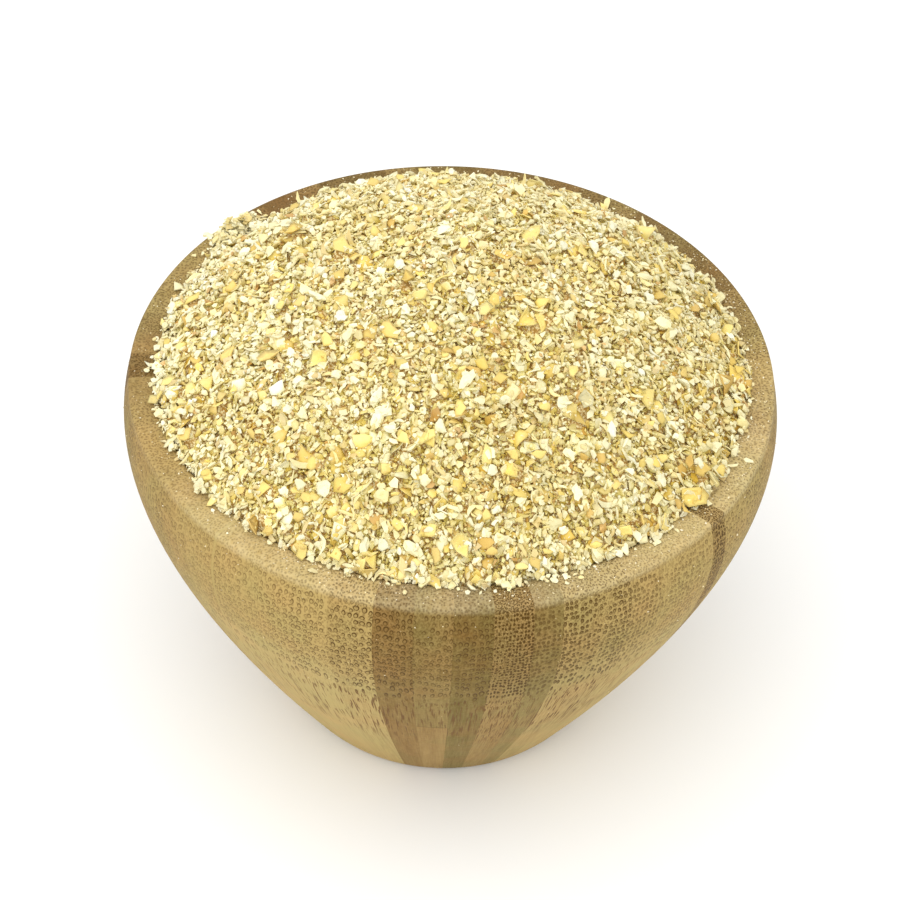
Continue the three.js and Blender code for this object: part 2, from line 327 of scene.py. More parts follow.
def makeBowl(material):
    random = np.random.default_rng(bowl["seed"])
    staves = drawStaves(random)
    start = np.radians(staves[:, 0])
    width = np.append(start[1:], start[0] + fullTurn) - start
    share = np.arange(bowl["columnsPerStave"]) / bowl["columnsPerStave"]
    turns = (start[:, None] + width[:, None] * share).ravel()
    outline = bowlOutline()
    body = swept(outline[1:-1], turns)
    points = np.vstack([(0, *outline[0]), body.reshape(-1, 3), (0, *outline[-1])])  # the ends are on the axis
    corners, sizes = closedRings(*body.shape[:2], fromTop=False)
    # what the wood needs to know at each corner of each face: its stave, and the place in that stave's grain
    stave = np.repeat(np.arange(len(sizes)) % len(turns), sizes) // bowl["columnsPerStave"]
    end = len(outline) - 1
    row = np.concatenate([[0], np.repeat(np.arange(1, end), len(turns)), [end]])[corners]
    place, middle = points[corners], polar(start + width / 2)[stave]
    outward = (place[:, :2] * middle).sum(-1)
    across = place[:, 1] * middle[:, 0] - place[:, 0] * middle[:, 1]
    slope = np.radians(bowl["fibreSlope"] + random.normal(0, bowl["slopeUneven"], len(staves)))[stave]
    along = outward * np.cos(slope) + place[:, 2] * np.sin(slope)
    shift = random.uniform(0, 400, (len(staves), 3))[stave]
    cut, depth = throughFibres(outline)
    _, tone, hue, pores, side, fineness, node = staves[stave].T
    halfWidth = np.tan(width / 2)[stave] * outward
    crowd = 0.5 + 0.5 * side * across / np.maximum(halfWidth, 0.1)
    piece = newPiece("bamboo_bowl", points, corners, sizes, material, "bamboo", {
        "grain": np.stack([across * fineness, depth[row] * fineness, along], -1) + shift,
        "marks": np.stack([pores, crowd, halfWidth + across], -1),
        "tones": np.stack([tone, hue, cut[row]], -1),
        "stave": np.stack([fineness, node, side], -1),
    })
    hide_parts("bowl")


bamboo = {
    "dark": "#60481f",
    "light": "#c3ad73",
    "reddish": "#9c6c30",
    "olive": "#787030",
    "tint": 0.3,  # share of the reddish or olive colour
    "pore": "#523a0f",
    "streak": "#6a481c",  # colour of the bundles where the wood is cut along them
    "poreDepth": 1.0,  # share of the pores' colour in them
    "poreSpacing": 0.95,  # mm across the stave
    "poreRadius": 0.3,
    "speckSpacing": 0.46,  # mm, of the finest pores
    "speckDepth": 0.6,
    "streakSpacing": 0.28,  # mm
    "streakDepth": 0.95,
    "endGrain": "#f6f1e6",  # multiplies the ground where it is cut across
    "dust": "#e9dcb2",
    "dustDepth": 0.26,
    "roughness": 0.68,
    "gloss": 0.12,
    "relief": (0.4, 0.12),  # strength, and depth in mm
}


def bambooMaterial(look):
    material, start = newMaterial("bamboo")
    across, through, along = start.read("grain").split()
    pores, crowd, fromStart = start.read("marks").split()
    tone, hue, cut = start.read("tones").split()
    fineness, node, _ = start.read("stave").split()
    place = start.node("ShaderNodeTexCoord", output="Object")
    sideways, backward, height = place.split()
    onTop = height.ramp(65.5 * mm, 66.8 * mm)

    def fibres(fine, long, detail, roughness=0.5, output="Fac"):
        # noise drawn out along the fibres: how fast it changes across them and along them, 1/mm
        place = start.join(across * fine, through * fine, along * long)
        return start.noise(place, 1.0, detail, roughness, output)

    # the ground: from the dark to the light tone, leaning to reddish or olive, streaked along the fibres
    streaks = fibres(3.5, 0.12, 4.0, 0.65)
    patches = start.noise(place, 140.0)
    fine = start.noise(place, 1500.0, roughness=0.7)
    # paler low on the wall: partly the wood's own lighter colour there, partly painted light where the lower
    # wall lacks light
    palerLowAndPaintedLight = height.ramp(35 * mm, 4 * mm, 0.0, 0.1)
    wavy = height * 1000 + (patches - 0.5) * 1.6
    under = (wavy - node).ramp(0.15, -0.15)
    level = tone + palerLowAndPaintedLight + under * 0.06 + (streaks - 0.5) * 0.6 + (fibres(0.4, 0.03, 2.0) - 0.5) * 0.45
    ground = start.mix(level + (fine - 0.5) * 0.3, look["dark"], look["light"])
    lean = hue + (patches - 0.5) * 2.4 - palerLowAndPaintedLight - under * 0.5
    ground = start.mix(look["tint"], ground, start.mix(lean, look["reddish"], look["olive"]))
    ground = start.mix(cut.ramp(0.35, 0.9), ground, look["endGrain"], "MULTIPLY")
    # the vessel bundles: cells across the fibres, each a dark ring that is thicker on one side, fading low on
    # the wall; where the wood is cut along them there are thin broken streaks instead
    bend = fibres(0.25, 0.06, 2.0, output="Color")
    plane = start.vector("MULTIPLY_ADD", bend, (1.4, 1.4, 0), start.join(across, through, 0.0))
    luck, size, _ = start.cells(plane, look["poreSpacing"], "Color", 0.5).split()
    offset = start.vector("SUBTRACT", plane, start.cells(plane, look["poreSpacing"], "Position", 0.5))
    distance = start.vector("LENGTH", offset, output="Value")
    inner = start.vector("LENGTH", start.vector("ADD", offset, (0.02, 0.06, 0)), output="Value")
    radius = look["poreRadius"] * (0.8 + size * 0.35 + crowd * 0.1) * cut.ramp(0.05, 0.4, 0.36, 1.0)
    ring = (distance - radius).ramp(0.06, -0.04)
    heart = (inner - radius * 0.6).ramp(0.07, -0.04)
    hollow = fineness.ramp(1.1, 1.35, 0.8, 0.1) * cut.ramp(0.12, 0.34)
    present = (luck - 0.75 - crowd * 0.45).ramp(0.3, -0.3)
    broken = start.noise(start.join(along * 0.2, luck * 40.0, size * 40.0), 1.0).ramp(0.34, 0.48)
    broken = 1 - (1 - broken) * cut.ramp(0.42, 0.2, 0.1, 0.9)
    lines = fibres(1 / look["streakSpacing"], 0.11, 1.0).ramp(0.57, 0.64)
    lines = lines * cut.ramp(0.3, 0.1) * look["streakDepth"]
    fade = height.ramp(16 * mm, 32 * mm, 0.1, 1.0) * (1 - under * 0.7)
    holes = ring * (1 - heart * hollow) * present * broken * (1 - onTop * 0.8)
    # the finest pores, which are all that the rim's top shows, and more of them where the bundles crowd
    crowded = pores.ramp(1.2, 1.5)
    specks = start.cells(plane, look["speckSpacing"], "Distance").ramp(0.5, 0.12)
    specks = specks * (cut.ramp(0.2, 0.85, 0.2, 0.8) + onTop * (0.5 + crowded)) * look["speckDepth"]
    holes = start.math("MAXIMUM", start.math("MAXIMUM", holes, lines) * fade, specks)
    holes = start.math("MINIMUM", holes * pores, 1.0)
    deep = start.mix(cut.ramp(0.34, 0.12), look["pore"], look["streak"])
    wood = start.mix(holes * look["poreDepth"], ground, deep)
    # a faint dark line where two staves are glued, and one where a node crosses
    line = start.math("MAXIMUM", fromStart.ramp(0.14, 0.02, 0.0, 0.14),
                      start.math("ABSOLUTE", wavy - node).ramp(0.22, 0.05, 0.0, 0.45))
    wood = start.mix(line, wood, look["pore"])
    # flour on the rim's top, most of it in front and on the right, thinner over the pores
    broad = start.noise(place, 260.0, 3.0, 0.6)
    most = (backward - sideways * 0.3).ramp(-8 * mm, -28 * mm, 0.25, 1.0)
    dust = onTop * most * (0.75 + (broad - 0.5) * 0.8 + (fine - 0.5) * 1.6)
    dust = dust * (1 - holes * 0.6) * (1 - crowded * 0.6)
    wood = start.mix(dust * look["dustDepth"], wood, look["dust"])
    finishSurface(start, look, wood, look["roughness"] - holes * 0.1, 1 - holes + streaks * 0.4)
    return material


heap = {
    "rise": 20.5,  # mm, as in the part's source
    "footRadius": 45.5,
    "gap": 0.35,
    "lean": (0.03, 0.02),
    "swellHeight": 0.45,
    "wideSwell": (8.0, 9.0),
    "narrowSwell": (4.1, 5.3),
    "cell": 0.25,  # mm, of the map of heights that the pieces are laid on
    "margin": 7.0,  # mm of map past the foot
    "overhang": 1.0,  # mm that a piece may reach past the foot before it rolls
    "perch": 0.26,  # 0 to lie on the ground's mean height, 1 on its highest point
    "paintedShadeFalloff": (0.02, 0.11, 0.85),  # painted shade in the gaps: how fast the red, green and blue of a piece fall off with depth, 1/mm
    "drift": (0.01, 0.02, 0.065),  # how much they drift over patches a few mm wide
    "paintedSideShade": (0.05, 0.065, 0.12),  # painted shade: how much they fall off from the middle to the right edge
    "paintedLightTowards": (-0.9, 0.4),  # the way in which they grow, towards the painted light at the left and back
    "seed": 12,
}
# flat distance of the heap's foot from its middle: the chord from the cap's top to its edge
heap["reach"] = np.hypot(heap["footRadius"], heap["rise"])


def overHeap(place):
    # the heap is a cap of a sphere, laid out flat at true area: a flat point (a, b) at height h stands over
    # (a s, b s, R (1 - 2 q^2)), with q = distance / 2R and s = sqrt(1 - q^2), along the sphere's radius
    a, b, h = place[..., 0], place[..., 1], place[..., 2]
    foot, rise = heap["footRadius"], heap["rise"]
    sphere = (foot ** 2 + rise ** 2) / (2 * rise)
    q = np.hypot(a, b) / (2 * sphere)
    s = np.sqrt(1 - q * q)
    level = 1 - 2 * q * q
    x, y = a * s * (1 + h / sphere), b * s * (1 + h / sphere)
    cap = sphere * level - (sphere - rise)
    inside = np.clip(1 - (x * x + y * y) / foot ** 2, 0, 1)
    lean = 1 + (x * heap["lean"][0] + y * heap["lean"][1]) / foot
    wide = np.sin(x / heap["wideSwell"][0] + 1) * np.cos(y / heap["wideSwell"][1])
    narrow = np.sin(x / heap["narrowSwell"][0] + y / heap["narrowSwell"][1])
    swell = heap["swellHeight"] * (wide + narrow / 2) * inside
    z = bowl["height"] + heap["gap"] + cap * lean + swell + h * level
    return np.stack([x, y, z], -1)

# how much the red, green and blue of one piece and the next differ, in lightness and in yellowness
chance = np.array([(0.06, 0.06, 0.06), (0.0, 0.015, 0.08)])


def drawPieces(kind, place, random, changes=None):
    # pieces of one kind for the given places: a size from a skewed bell, the median times e^(spread n)
    its, count = {**kinds[kind], **(changes or {})}, len(place)
    median, spread, least, most = its["length"]
    length = np.clip(median * np.exp(random.normal(0, spread, count)), least, most)
    ratio = random.uniform(*its["shape"], count)
    thick = random.uniform(*its["thickness"], count)
    names = list(its["colours"])
    weight = np.array([its["colours"][n] for n in names], float)
    colour = np.array([linear(n) for n in names])[random.choice(len(names), count, p=weight / weight.sum())]
    steep = random.uniform(0, 1, (count, 1)) < its["steep"]
    thin = its["form"] in (flakeForm, chipForm, sliverForm)
    return {
        "kind": np.full(count, list(kinds).index(kind)),
        "place": place,
        "half": np.stack([length, length * ratio], -1) / 2,
        "thick": thick if thin else thick * length * ratio,
        "roll": random.normal(0, its["roll"], (count, 3, 2)),
        "spin": random.uniform(0, fullTurn, count),
        "lean": (np.clip(random.normal(0, 1, (count, 2)), -1.6, 1.6)
                 * np.where(steep, 0.9, its["lean"] * 0.6)),
        "curl": random.normal(0, 1, (count, 3)) * its["curl"],
        "colour": np.clip(colour * np.exp(random.normal(0, 1, (count, 2)) @ chance), 0, 1),
        "round": np.full(count, 0.0 if thin else 1.0),
        "order": random.uniform(0, 1, count) + its["late"],
    }


def overDisc(count, reach, front, random):
    # even places on a disc, or more in front than behind, and a twentieth as many again along its edge
    turn = random.uniform(0, fullTurn, 3 * count)
    distance = reach * np.sqrt(random.uniform(0, 1, 3 * count))
    distance[::20] = reach + random.normal(-0.3, 0.4, len(distance[::20]))
    kept = random.uniform(0, 1 + abs(front), 3 * count) < 1 + front * np.cos(turn) * distance / reach
    turn, distance = turn[kept][:count], distance[kept][:count]
    return polar(turn, distance)


def picked(pieces, which):
    return {key: values[which] for key, values in pieces.items()}


def gather(parts):
    every = {key: np.concatenate([p[key] for p in parts]) for key in parts[0]}
    return picked(every, np.argsort(every["order"]))


def mapDistances(reach):
    # how far each cell of a square map lies from its middle, for a map that reaches this far
    half = int(np.ceil(reach / heap["cell"]))
    line = np.arange(-half, half + 1) * heap["cell"]
    return np.hypot(*np.meshgrid(line, line))


def atMap(place, bed):
    # column and row of the map of heights at each place
    index = np.round(place / heap["cell"]).astype(int) + bed.shape[0] // 2
    return index[..., 0], index[..., 1]


def footprint(pieces, i, bed, cell, windows):
    # the patch of the map round a piece, the cells of it that the piece covers, and their x, y and distance
    # from its middle: (x cos + y sin)^2 / length^2 + (y cos - x sin)^2 / width^2 is at most 1
    long, wide = pieces["half"][i]
    reach = int(np.ceil(long / cell)) + 1
    if reach not in windows:
        line = np.arange(-reach, reach + 1) * cell
        windows[reach] = np.meshgrid(line, line, indexing="ij")
    x, y = windows[reach]
    column, row = atMap(pieces["place"][i], bed)
    patch = bed[column - reach:column + reach + 1, row - reach:row + reach + 1]
    c, s = np.cos(pieces["spin"][i]), np.sin(pieces["spin"][i])
    away = ((x * c + y * s) / long) ** 2 + ((y * c - x * s) / wide) ** 2
    under = away <= 1
    under[reach, reach] = True
    return patch, under, x[under], y[under], away[under]


def settle(pieces, bed):
    # each piece rolls to the lowest of three spots on a map of heights, takes the slope of the ground there,
    # rests a share of the way from the ground's mean to its top, and is part of the ground for the next
    count = len(pieces["spin"])
    rest, slope, seen = np.zeros(count), np.zeros((count, 2)), np.zeros(count, bool)
    cell, windows = heap["cell"], {}
    for i in range(count):
        spots = pieces["place"][i] + pieces["roll"][i]
        pieces["place"][i] = spots[np.argmin(bed[atMap(spots, bed)])]
        patch, under, x, y, away = footprint(pieces, i, bed, cell, windows)
        ground = patch[under]
        mean = ground.mean()
        gx = (x * (ground - mean)).sum() / ((x * x).sum() + 0.05)
        gy = (y * (ground - mean)).sum() / ((y * y).sum() + 0.05)
        ease = min(1, 0.7 / max(np.hypot(gx, gy), 0.01))
        gx, gy = gx * ease + pieces["lean"][i, 0], gy * ease + pieces["lean"][i, 1]
        left = ground - mean - gx * x - gy * y
        rest[i] = mean + heap["perch"] * left.max() + pieces["thick"][i] / 2
        slope[i] = gx, gy
        crown = 1 - pieces["round"][i] * (1 - np.sqrt(np.clip(1 - away, 0, 1)))
        patch[under] = np.maximum(ground, rest[i] + gx * x + gy * y + pieces["thick"][i] / 2 * crown)
    for i in range(count):
        patch, under, x, y, _ = footprint(pieces, i, bed, cell, windows)
        own = rest[i] + slope[i, 0] * x + slope[i, 1] * y + pieces["thick"][i] / 2
        seen[i] = (patch[under] < own + 0.2).any()
    return rest, slope, seen


def turned(pieces, local, height, slope):
    # each piece's own points, as multiples of three axes from its middle: the slope's normal n, the direction
    # of its spin laid in the slope, s - n (s . n), and the cross product of the two
    count = len(height)
    normal = np.concatenate([-slope, np.ones((count, 1))], 1)
    normal /= np.linalg.norm(normal, axis=1, keepdims=True)
    spin = np.stack([np.cos(pieces["spin"]), np.sin(pieces["spin"]), np.zeros(count)], -1)
    length = spin - normal * (spin * normal).sum(1, keepdims=True)
    length /= np.linalg.norm(length, axis=1, keepdims=True)
    width = np.cross(normal, length)
    middle = np.concatenate([pieces["place"], height[:, None]], 1)
    return (middle[:, None] + local[..., :1] * length[:, None] + local[..., 1:2] * width[:, None]
            + local[..., 2:] * normal[:, None])


def tornEdge(pieces, random, sides, dents):
    # corners round an oval at uneven angles and distances, some of them torn well inside it
    count = len(pieces["spin"])
    angle = (np.arange(sides) + random.uniform(-0.45, 0.45, (count, sides))) / sides * fullTurn
    reach = random.uniform(0.75, 1.15, (count, sides))
    reach = np.where(random.uniform(0, 1, (count, sides)) < dents, reach * 0.64, reach)
    return np.stack([np.cos(angle), np.sin(angle)], -1) * reach[..., None] * pieces["half"][:, None]


def flakeForm(pieces, random, sides=6):
    # a torn plate: middle, a ring halfway out and a ring at the edge on top, the edge again and the middle
    # below; bent by a x^2 + b y^2 + c x y of its own curl
    count = len(pieces["spin"])
    edge = tornEdge(pieces, random, sides, 0.16)
    halfway = edge * random.uniform(0.45, 0.7, (count, sides, 1))
    middle = np.zeros((count, 1, 2))
    thick = pieces["thick"][:, None] / 2
    wave = random.normal(0, 0.09, (count, sides)) * pieces["half"][:, :1]
    flat = np.concatenate([middle, halfway, edge, edge, middle], 1)
    lift = np.concatenate([thick, thick * random.uniform(0.6, 1.5, (count, sides)), wave + thick * 0.7,
                           wave - thick * 0.7, -thick], 1)
    x, y = flat[..., 0], flat[..., 1]
    a, b, c = pieces["curl"].T[:, :, None]
    local = np.dstack([flat, lift + a * x * x + 2 * b * y * y + c * x * y])
    return local, *closedRings(3, sides), np.repeat([False, True, False, False], sides)  # flat at the edge


def chipForm(pieces, random, sides=5):
    # a splinter: a torn edge on top and below, and a middle on both faces that is off the plane of the edge
    count = len(pieces["spin"])
    edge = tornEdge(pieces, random, sides, 0.12)
    middle = edge.mean(1, keepdims=True) + random.normal(0, 0.2, (count, 1, 2)) * pieces["half"][:, None]
    thick = pieces["thick"][:, None] / 2
    wave = random.normal(0, 0.16, (count, sides)) * pieces["half"][:, :1]
    rise = random.normal(0, 0.2, (count, 1)) * pieces["half"][:, 1:]
    flat = np.concatenate([middle, edge, edge * 0.92, middle], 1)
    lift = np.concatenate([rise + thick, wave + thick * 0.8, wave - thick * 0.8, rise - thick], 1)
    return np.dstack([flat, lift]), *closedRings(2, sides), np.ones(3 * sides, bool)


def ball(level):
    # an icosahedron, each face cut into four once for level 1, with its points at distance 1
    golden = (1 + 5 ** 0.5) / 2
    points = np.array([(a, b * golden, 0) for a in (-1, 1) for b in (-1, 1)], float)
    points = np.vstack([points, points[:, [2, 0, 1]], points[:, [1, 2, 0]]])
    points /= np.linalg.norm(points[0])
    apart = np.linalg.norm(points[:, None] - points[None], axis=-1)
    near = (apart < apart[0, 1:].min() * 1.1) & (apart > 0)
    faces = np.array([f for f in combinations(range(12), 3) if all(near[p] for p in combinations(f, 2))])
    a, b, c = points[faces].transpose(1, 0, 2)
    inward = (np.cross(b - a, c - a) * a).sum(1) < 0
    faces[inward] = faces[inward][:, ::-1]
    if level:
        pairs = np.sort(np.vstack([faces[:, [0, 1]], faces[:, [1, 2]], faces[:, [2, 0]]]), 1)
        edges, which = np.unique(pairs, axis=0, return_inverse=True)
        ab, bc, ca = which.reshape(3, -1) + len(points)
        halfway = points[edges].mean(1)
        points = np.vstack([points, halfway / np.linalg.norm(halfway, axis=1, keepdims=True)])
        a, b, c = faces.T
        faces = np.hstack([(a, ab, ca), (b, bc, ab), (c, ca, bc), (ab, bc, ca)]).T
    return points, faces


def lumpForm(pieces, random, level=1, rough=0.15):
    # a ball squashed to the piece's length, width and thickness, with waves and knobs of its own
    points, faces = ball(level)
    count = len(pieces["spin"])
    axis = random.normal(0, 2.2, (count, 3, 3))
    phase = random.uniform(0, fullTurn, (count, 1, 3))
    waves = np.sin(np.einsum("vc,nkc->nvk", points, axis) + phase).sum(-1) * 0.18
    size = 1 + waves + random.normal(0, rough, (count, len(points)))
    scale = np.concatenate([pieces["half"], pieces["thick"][:, None] / 2], 1)
    local = points[None] * size[..., None] * scale[:, None]
    return local, faces.ravel(), np.full(len(faces), 3), np.ones(len(faces), bool)


def gritForm(pieces, random):
    return lumpForm(pieces, random, level=0, rough=0.22)


def speckForm(pieces, random):
    # an eight-faced crumb: two ends, two sides, a top and a bottom, each at its own distance
    count = len(pieces["spin"])
    points = np.array([(1, 0, 0), (0, 1, 0), (-1, 0, 0), (0, -1, 0), (0, 0, 1), (0, 0, -1)], float)
    scale = np.concatenate([pieces["half"], pieces["thick"][:, None] / 2], 1)
    local = points[None] * random.uniform(0.8, 1.4, (count, 6, 1)) * scale[:, None]
    local += random.normal(0, 0.18, local.shape) * scale[:, None]
    ring = np.arange(4)
    after = np.roll(ring, -1)
    faces = np.hstack([(ring, after, np.full(4, 4)), (after, ring, np.full(4, 5))]).T
    return local, faces.ravel(), np.full(8, 3), np.ones(8, bool)


def sliverForm(pieces, random, stations=5):
    # a narrow strip of four-sided section carried along an arc, curled up at its ends and twisted
    count = len(pieces["spin"])
    t = np.linspace(-1, 1, stations)
    half, wide = pieces["half"][:, :1], pieces["half"][:, 1:]
    bow = pieces["curl"][:, :1] * 2
    bow = np.where(np.abs(bow) < 0.05, 0.05, bow)
    x, z = half / bow * np.sin(bow * t), half / bow * (1 - np.cos(bow * t))
    y = pieces["curl"][:, 1:2] * half * (t * t - 0.3) + random.normal(0, 0.03, (count, stations)) * half
    narrow = wide * (1 - 0.75 * np.abs(t) ** 3) * random.uniform(0.75, 1.25, (count, stations))
    twist = random.normal(0, 0.5, (count, 1)) * t
    thick = pieces["thick"][:, None] / 2
    sides = []
    for across, up in ((-1, -1), (1, -1), (1, 1), (-1, 1)):
        dy = across * narrow * np.cos(twist) - up * thick * np.sin(twist)
        dz = across * narrow * np.sin(twist) + up * thick * np.cos(twist)
        sides.append(np.stack([x, y + dy, z + dz], -1))
    local = np.stack(sides, 2).reshape(count, stations * 4, 3)
    place = np.arange(stations * 4).reshape(stations, 4)
    quads = np.vstack([bands(place), place[0][::-1], place[-1]])
    return local, quads.ravel(), np.full(len(quads), 4), np.ones(len(quads), bool)


# The loose pieces, kind by kind. "length" is the median, spread, least and most in mm, "shape" the width's
# share of the length, "thickness" in mm for thin pieces and a share of the width for thick ones, "lean" how
# unevenly they lie, "steep" the share that stands up, "late" how much later than others they fall, "roll" how
# far they roll in mm, and "front" how much they crowd towards the front.
usual = {"shape": (0.5, 0.95), "curl": 0.0, "lean": 0.6, "steep": 0.0, "late": 0.1, "roll": 0.4, "front": 0.0}
kinds = {
    "golden_flakes": {
        "form": flakeForm, "count": 700, "length": (2.3, 0.3, 1.3, 4.4), "shape": (0.55, 0.95),
        "thickness": (0.16, 0.26), "curl": 0.22, "lean": 0.5, "steep": 0.2, "late": 0.4, "roll": 0.1,
        "front": 0.9, "colours": {"#e8d27e": 3, "#e0c676": 2, "#f0dd8c": 3, "#d8b86a": 1},
    },
    "pale_flakes": {
        "form": flakeForm, "count": 2300, "length": (1.7, 0.28, 0.9, 3.4), "thickness": (0.16, 0.3),
        "curl": 0.24, "lean": 0.7, "steep": 0.3, "roll": 0.2, "front": 0.4,
        "colours": {"#eee6b6": 3, "#e6dba2": 3, "#f2efca": 2, "#decd88": 2},
    },
    "chips": {
        "form": chipForm, "count": 13800, "length": (1.18, 0.28, 0.6, 2.4), "thickness": (0.18, 0.42),
        "lean": 0.7, "steep": 0.4, "colours": {"#ede6ba": 4, "#e7dca8": 3, "#f2edc6": 3, "#dccb90": 1},
    },
    "husks": {
        "form": chipForm, "count": 2200, "length": (1.25, 0.3, 0.7, 2.8), "shape": (0.4, 0.9),
        "thickness": (0.1, 0.22), "steep": 0.3,
        "colours": {"#dac284": 3, "#d4b276": 2, "#e0cd94": 3, "#caa466": 1},
    },
    "flour_lumps": {
        "form": lumpForm, "count": 1400, "length": (1.25, 0.34, 0.6, 2.6), "thickness": (0.4, 0.75),
        "lean": 0.3, "late": 0.25, "front": 0.5, "colours": {"#f0ecc6": 3, "#ece5b6": 3, "#f3f0cc": 2},
    },
    "slivers": {
        "form": sliverForm, "count": 2100, "length": (1.7, 0.33, 1.0, 3.8), "shape": (0.14, 0.26),
        "thickness": (0.12, 0.2), "curl": 0.34, "lean": 0.5, "steep": 0.2, "late": 0.3, "roll": 0.3,
        "colours": {"#f0eabe": 3, "#e8da9e": 3, "#dac688": 1},
    },
    "grits": {
        "form": gritForm, "count": 14500, "length": (0.68, 0.26, 0.4, 1.2), "thickness": (0.35, 0.8),
        "late": 0.15, "roll": 0.6, "front": -0.15,
        "colours": {"#ece4ba": 4, "#e5d9a6": 3, "#f2edc8": 3, "#d8c288": 1},
    },
    "fine_grits": {
        "form": speckForm, "count": 30000, "length": (0.38, 0.25, 0.24, 0.6), "shape": (0.6, 0.95),
        "thickness": (0.5, 0.95), "lean": 0.4, "late": 0.3, "roll": 1.0, "front": -0.2,
        "colours": {"#ece3b6": 4, "#e4d6a2": 3, "#f2eecb": 3, "#d6bc82": 1},
    },
}
kinds = {kind: {**usual, **its} for kind, its in kinds.items()}


def clearOfWood(points):
    # a piece that reaches past the mouth lower than the rim's top is lifted on to the rim, or pushed back
    # inside where the lift would be high
    radius, mouth = np.hypot(points[..., 0], points[..., 1]), bowl["mouthRadius"]
    lift = np.where(radius > mouth - 0.05, bowl["height"] + 0.02 - points[..., 2], 0).max(1)
    high = lift > 0.8
    middle = points[..., :2].mean(1)
    inward = -middle / np.linalg.norm(middle, axis=1, keepdims=True)
    points[..., :2] += (inward * np.where(high, radius.max(1) - mouth + 0.1, 0)[:, None])[:, None]
    points[..., 2] += np.where(high, 0, np.maximum(lift, 0))[:, None]
    return points


def paintedGapShade(colour, laid, bed):
    # painted shade: a piece's colour times e^(-k d) at each point d mm under the heap's smoothed top, so the
    # gaps between pieces are darker
    depth = np.clip(blurred(bed, 4)[atMap(laid[..., :2], bed)] - laid[..., 2], 0, 1.2)
    return colour[:, None] * np.exp(-depth[..., None] * np.array(heap["paintedShadeFalloff"]))


def joinedPiece(name, groups, material):
    # many copies of several forms as one mesh, with a colour on each point
    points, corners, sizes, flats, tints, start = [], [], [], [], [], 0
    for placed, faceCorners, faceSizes, flat, colour in groups:
        count, each = placed.shape[:2]
        colour = np.broadcast_to(colour if colour.ndim == 3 else colour[:, None], (count, each, 3))
        points.append(placed.reshape(-1, 3))
        corners.append((faceCorners[None] + np.arange(count)[:, None] * each).ravel() + start)
        sizes.append(np.tile(faceSizes, count))
        flats.append(np.tile(flat, count))
        tints.append(np.concatenate([colour, np.ones((count, each, 1))], -1).reshape(-1, 4))
        start += count * each
    newPiece(name, np.vstack(points), np.concatenate(corners), np.concatenate(sizes), material, "oat_bran",
             {"tint": np.vstack(tints)}, np.concatenate(flats))


def makePieces(material):
    random = np.random.default_rng(heap["seed"])
    foot = heap["reach"]
    pieces = gather([drawPieces(kind, overDisc(its["count"], foot, its["front"], random), random)
                     for kind, its in kinds.items()])
    away = np.linalg.norm(pieces["place"], axis=1)
    over = np.maximum(away + pieces["half"][:, 0] - foot - heap["overhang"], 0)
    pieces["place"] *= (1 - over / away)[:, None]
    fromMiddle = mapDistances(foot + heap["margin"])
    bed = blurred(random.normal(0, 1, fromMiddle.shape), 2) * 0.5
    rest, slope, seen = settle(pieces, bed)
    level = bed[fromMiddle < foot].mean()
    bed -= level
    print("the loose pieces lie", round(level, 2), "mm deep,", seen.sum(), "of", len(seen), "can be seen")
    patch = blurred(random.normal(0, 1, bed.shape), 8)
    patch = patch[atMap(pieces["place"], bed)] / patch.std()
    pieces["colour"] *= np.exp(patch[:, None] * heap["drift"])
    # painted light and shade: pieces lighter towards the left and back, darker towards the right and front
    pieces["colour"] *= np.exp((pieces["place"] @ heap["paintedLightTowards"] / foot)[:, None] * heap["paintedSideShade"])
    for number, (kind, its) in enumerate(kinds.items()):
        chosen = seen & (pieces["kind"] == number)
        own = picked(pieces, chosen)
        local, corners, sizes, flat = its["form"](own, random)
        laid = turned(own, local, rest[chosen] - level, slope[chosen])
        # painted shade: points deep in the gaps between pieces get darker, warmer colours
        colour = paintedGapShade(own["colour"], laid, bed)
        joinedPiece(kind, [(clearOfWood(overHeap(laid)), corners, sizes, flat, colour)], material)
    return bed


core = {
    "columns": 400,
    "rings": 100,
    "under": 0.15,  # mm under the lowest loose piece nearby
    "grain": 0.5,  # mm, height of its own fine relief
    "play": 0.04,  # mm between it and the wood at the top
    "seed": 31,
}


def lowest(heights, reach):
    # the least height in a square of side 2 reach + 1
    for axis in (0, 1):
        heights = np.min([np.roll(heights, step, axis) for step in range(-reach, reach + 1)], 0)
    return heights


def makeCore(bed, material):
    # the fine bran under the loose pieces: rings over the heap that follow the pieces' ground a little lower,
    # then rings down the cavity's wall to its floor
    random = np.random.default_rng(core["seed"])
    rimTop, limit = bowl["height"], bowl["mouthRadius"] - core["play"]
    ground = blurred(lowest(bed, 2), 1) - core["under"]
    ground += blurred(random.normal(0, 1, bed.shape), 1) * core["grain"]
    turns = np.arange(core["columns"]) / core["columns"] * fullTurn
    distance = np.linspace(0, heap["reach"] - 0.2, core["rings"] + 1)[1:]
    flat = polar(turns, distance[:, None])
    top = overHeap(np.dstack([flat, ground[atMap(flat, bed)]]))
    top[..., :2] *= np.minimum(1, limit / np.hypot(top[..., 0], top[..., 1]))[..., None]
    floor, belly = bowl["floorThickness"] + heap["gap"], bowl["cavityBelly"]
    side = bezier([(limit, rimTop - 0.9), (limit + belly[0] - heap["gap"], rimTop + belly[1]),
                   (bowl["cavityTurn"] - heap["gap"], floor), (bowl["floorRadius"], floor)], 6)
    body = np.concatenate([top, swept(side, turns)])
    middle = np.zeros(2)
    crown = overHeap(np.append(middle, ground[atMap(middle, bed)]))
    points = np.vstack([crown, body.reshape(-1, 3), (0, 0, floor)])
    piece = newPiece("fine_bran", points, *closedRings(*body.shape[:2]), material, "oat_bran")
    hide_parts("oat_bran")


